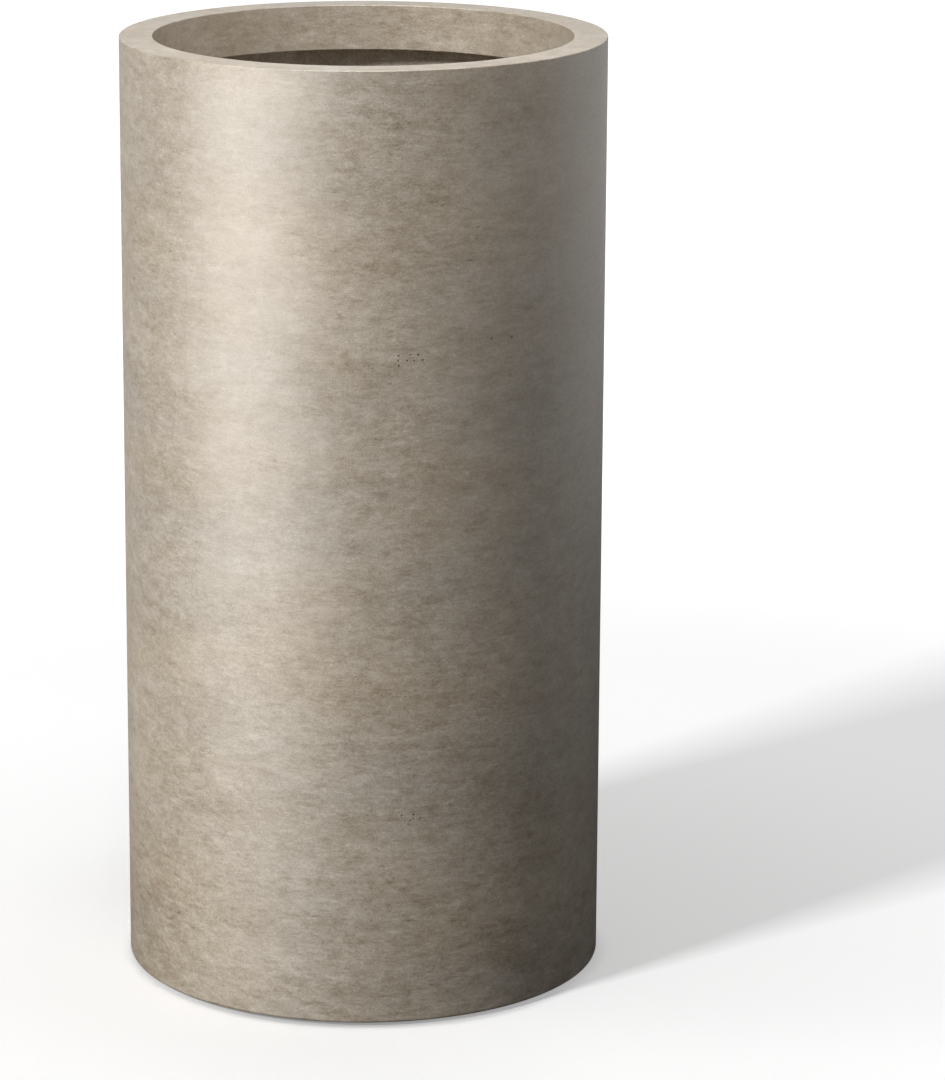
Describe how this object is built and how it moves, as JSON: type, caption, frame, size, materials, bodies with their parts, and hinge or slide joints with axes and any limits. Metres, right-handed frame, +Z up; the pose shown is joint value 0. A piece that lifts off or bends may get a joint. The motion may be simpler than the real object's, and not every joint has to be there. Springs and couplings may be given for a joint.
{
  "type": "cylindrical floor planter",
  "caption": "Tall cylindrical concrete floor planter with a thick flat rim, a thin wall set back behind it, rubber feet and a drain plug that lifts out.",
  "frame": {"origin": "on the ground, on the planter's own axis, at the centre of the feet", "axes": "+Z up along the planter's axis, out of its mouth; +X and +Y are level, between the feet"},
  "size_m": [0.4064, 0.4062, 0.8],
  "materials": {
    "face_concrete": "weathered warm grey-beige concrete with a satin seal",
    "fibre_concrete": "rough rolled fibre concrete",
    "cast_concrete": "trowelled cast concrete",
    "mortar": "finger-smoothed mortar",
    "glass_scrim": "woven glass fibre mesh",
    "galvanised_wire": "dull galvanised wire",
    "sleeve_plastic": "moulded plastic",
    "plug_rubber": "soft moulded rubber",
    "foot_rubber": "matt moulded rubber"
  },
  "bodies": {
    "planter": {"face_coat": "face_concrete", "wall_backing": "fibre_concrete", "wall_scrim": "glass_scrim", "rim_core": "fibre_concrete", "rim_hoop": "galvanised_wire", "floor_slab": "cast_concrete", "floor_grid": "galvanised_wire", "floor_fillet": "mortar", "drain_sleeve": "sleeve_plastic", "foot_1": "foot_rubber", "foot_2": "foot_rubber", "foot_3": "foot_rubber", "foot_4": "foot_rubber"},
    "plug": {"drain_plug": "plug_rubber"}
  },
  "joints": [
    {"name": "plug_lift", "type": "slide", "parent": "planter", "child": "plug", "axis": [0, 0, 1], "range_m": [0, 0.8]}
  ]
}
